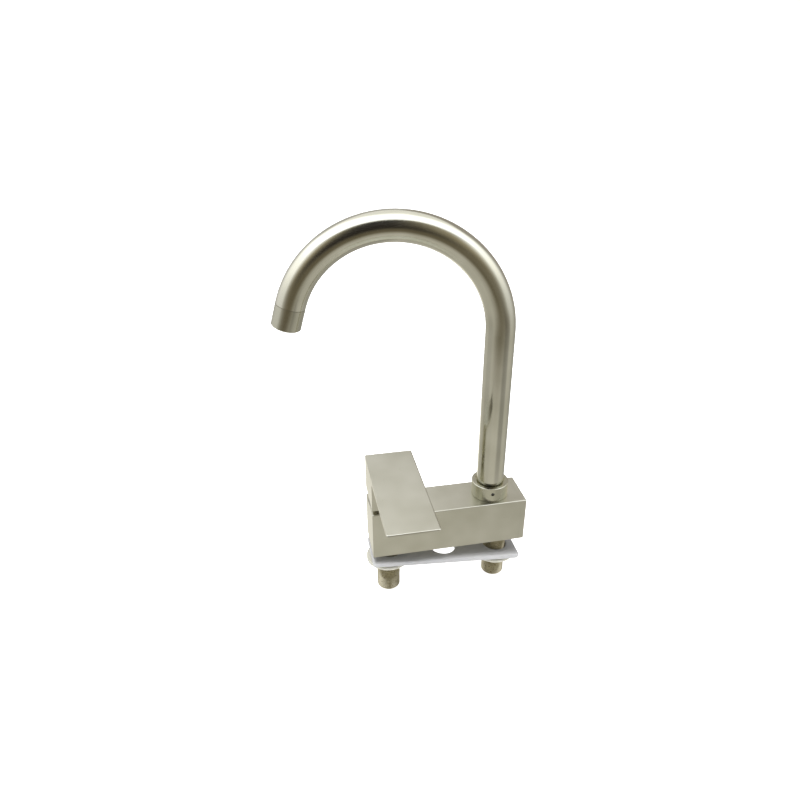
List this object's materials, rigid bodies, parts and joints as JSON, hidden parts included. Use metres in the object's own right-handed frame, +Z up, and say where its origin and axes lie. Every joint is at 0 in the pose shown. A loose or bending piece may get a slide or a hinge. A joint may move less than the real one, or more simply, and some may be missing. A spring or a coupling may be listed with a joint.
{
  "type": "kitchen faucet",
  "caption": "Kitchen faucet with a square bar body, flat lever handle at one end, swivelling gooseneck spout at the other, and threaded supply shanks with base plate and nuts.",
  "frame": {"origin": "midway between the supply shanks on the underside of the body, level with the top of the sink deck", "axes": "+X along the body from the handle to the spout, -Y towards the user, +Z up"},
  "size_m": [0.2078, 0.1315, 0.3425],
  "materials": {
    "nickel_body": "satin",
    "nickel_handle": "satin",
    "nickel_spout": "satin",
    "shank_metal": "satin",
    "plain_brass": "satin",
    "white_plastic": "matte",
    "seal_rubber": "matte",
    "cartridge_plastic": "matte",
    "aerator_plastic": "matte",
    "disc_ceramic": "satin",
    "plain_steel": "satin"
  },
  "bodies": {
    "fixed_body": {"faucet_body": "nickel_body", "end_cap": "nickel_body", "gallery_plugs": "plain_brass", "shank_left": "shank_metal", "shank_right": "shank_metal", "shank_seals": "seal_rubber", "base_plate": "white_plastic", "mounting_nut_left": "white_plastic", "mounting_nut_right": "white_plastic", "cartridge_base": "cartridge_plastic", "port_seals": "seal_rubber", "disc_seals": "seal_rubber", "fixed_disc": "disc_ceramic", "cartridge_housing": "cartridge_plastic", "cartridge_nut": "plain_brass", "spout_collar": "nickel_spout", "collar_set_screw": "plain_steel", "spout_washer": "cartridge_plastic"},
    "spout": {"spout_tube": "nickel_spout", "spout_nipple": "plain_brass", "spout_o_rings": "seal_rubber", "aerator_housing": "nickel_spout", "aerator_gasket": "seal_rubber", "aerator_screen": "plain_steel", "aerator_insert": "aerator_plastic"},
    "turning_guide": {"stem_guide": "cartridge_plastic", "stem_pin": "plain_steel"},
    "lever": {"handle": "nickel_handle", "cartridge_stem": "plain_brass", "handle_set_screw": "plain_steel"},
    "disc_stack": {"disc_carrier": "cartridge_plastic", "moving_disc": "disc_ceramic"}
  },
  "joints": [
    {"name": "handle_turn", "type": "hinge", "parent": "fixed_body", "child": "turning_guide", "pos_m": [-0.04625, 0, 0.043], "axis": [0, 0, 1], "range_deg": [-45, 45]},
    {"name": "lever_lift", "type": "hinge", "parent": "turning_guide", "child": "lever", "pos_m": [-0.04625, 0, 0.043], "axis": [-1, 0, 0], "range_deg": [0, 20]},
    {"name": "disc_slide", "type": "slide", "parent": "turning_guide", "child": "disc_stack", "axis": [0, -1, 0], "range_m": [0, 0.0035]},
    {"name": "spout_swivel", "type": "hinge", "parent": "fixed_body", "child": "spout", "pos_m": [0.0428, 0, 0.05], "axis": [0, 0, 1], "continuous": true}
  ],
  "couplings": [
    {"joint": "disc_slide", "follows": "lever_lift", "m_per_rad": 0.0098}
  ]
}
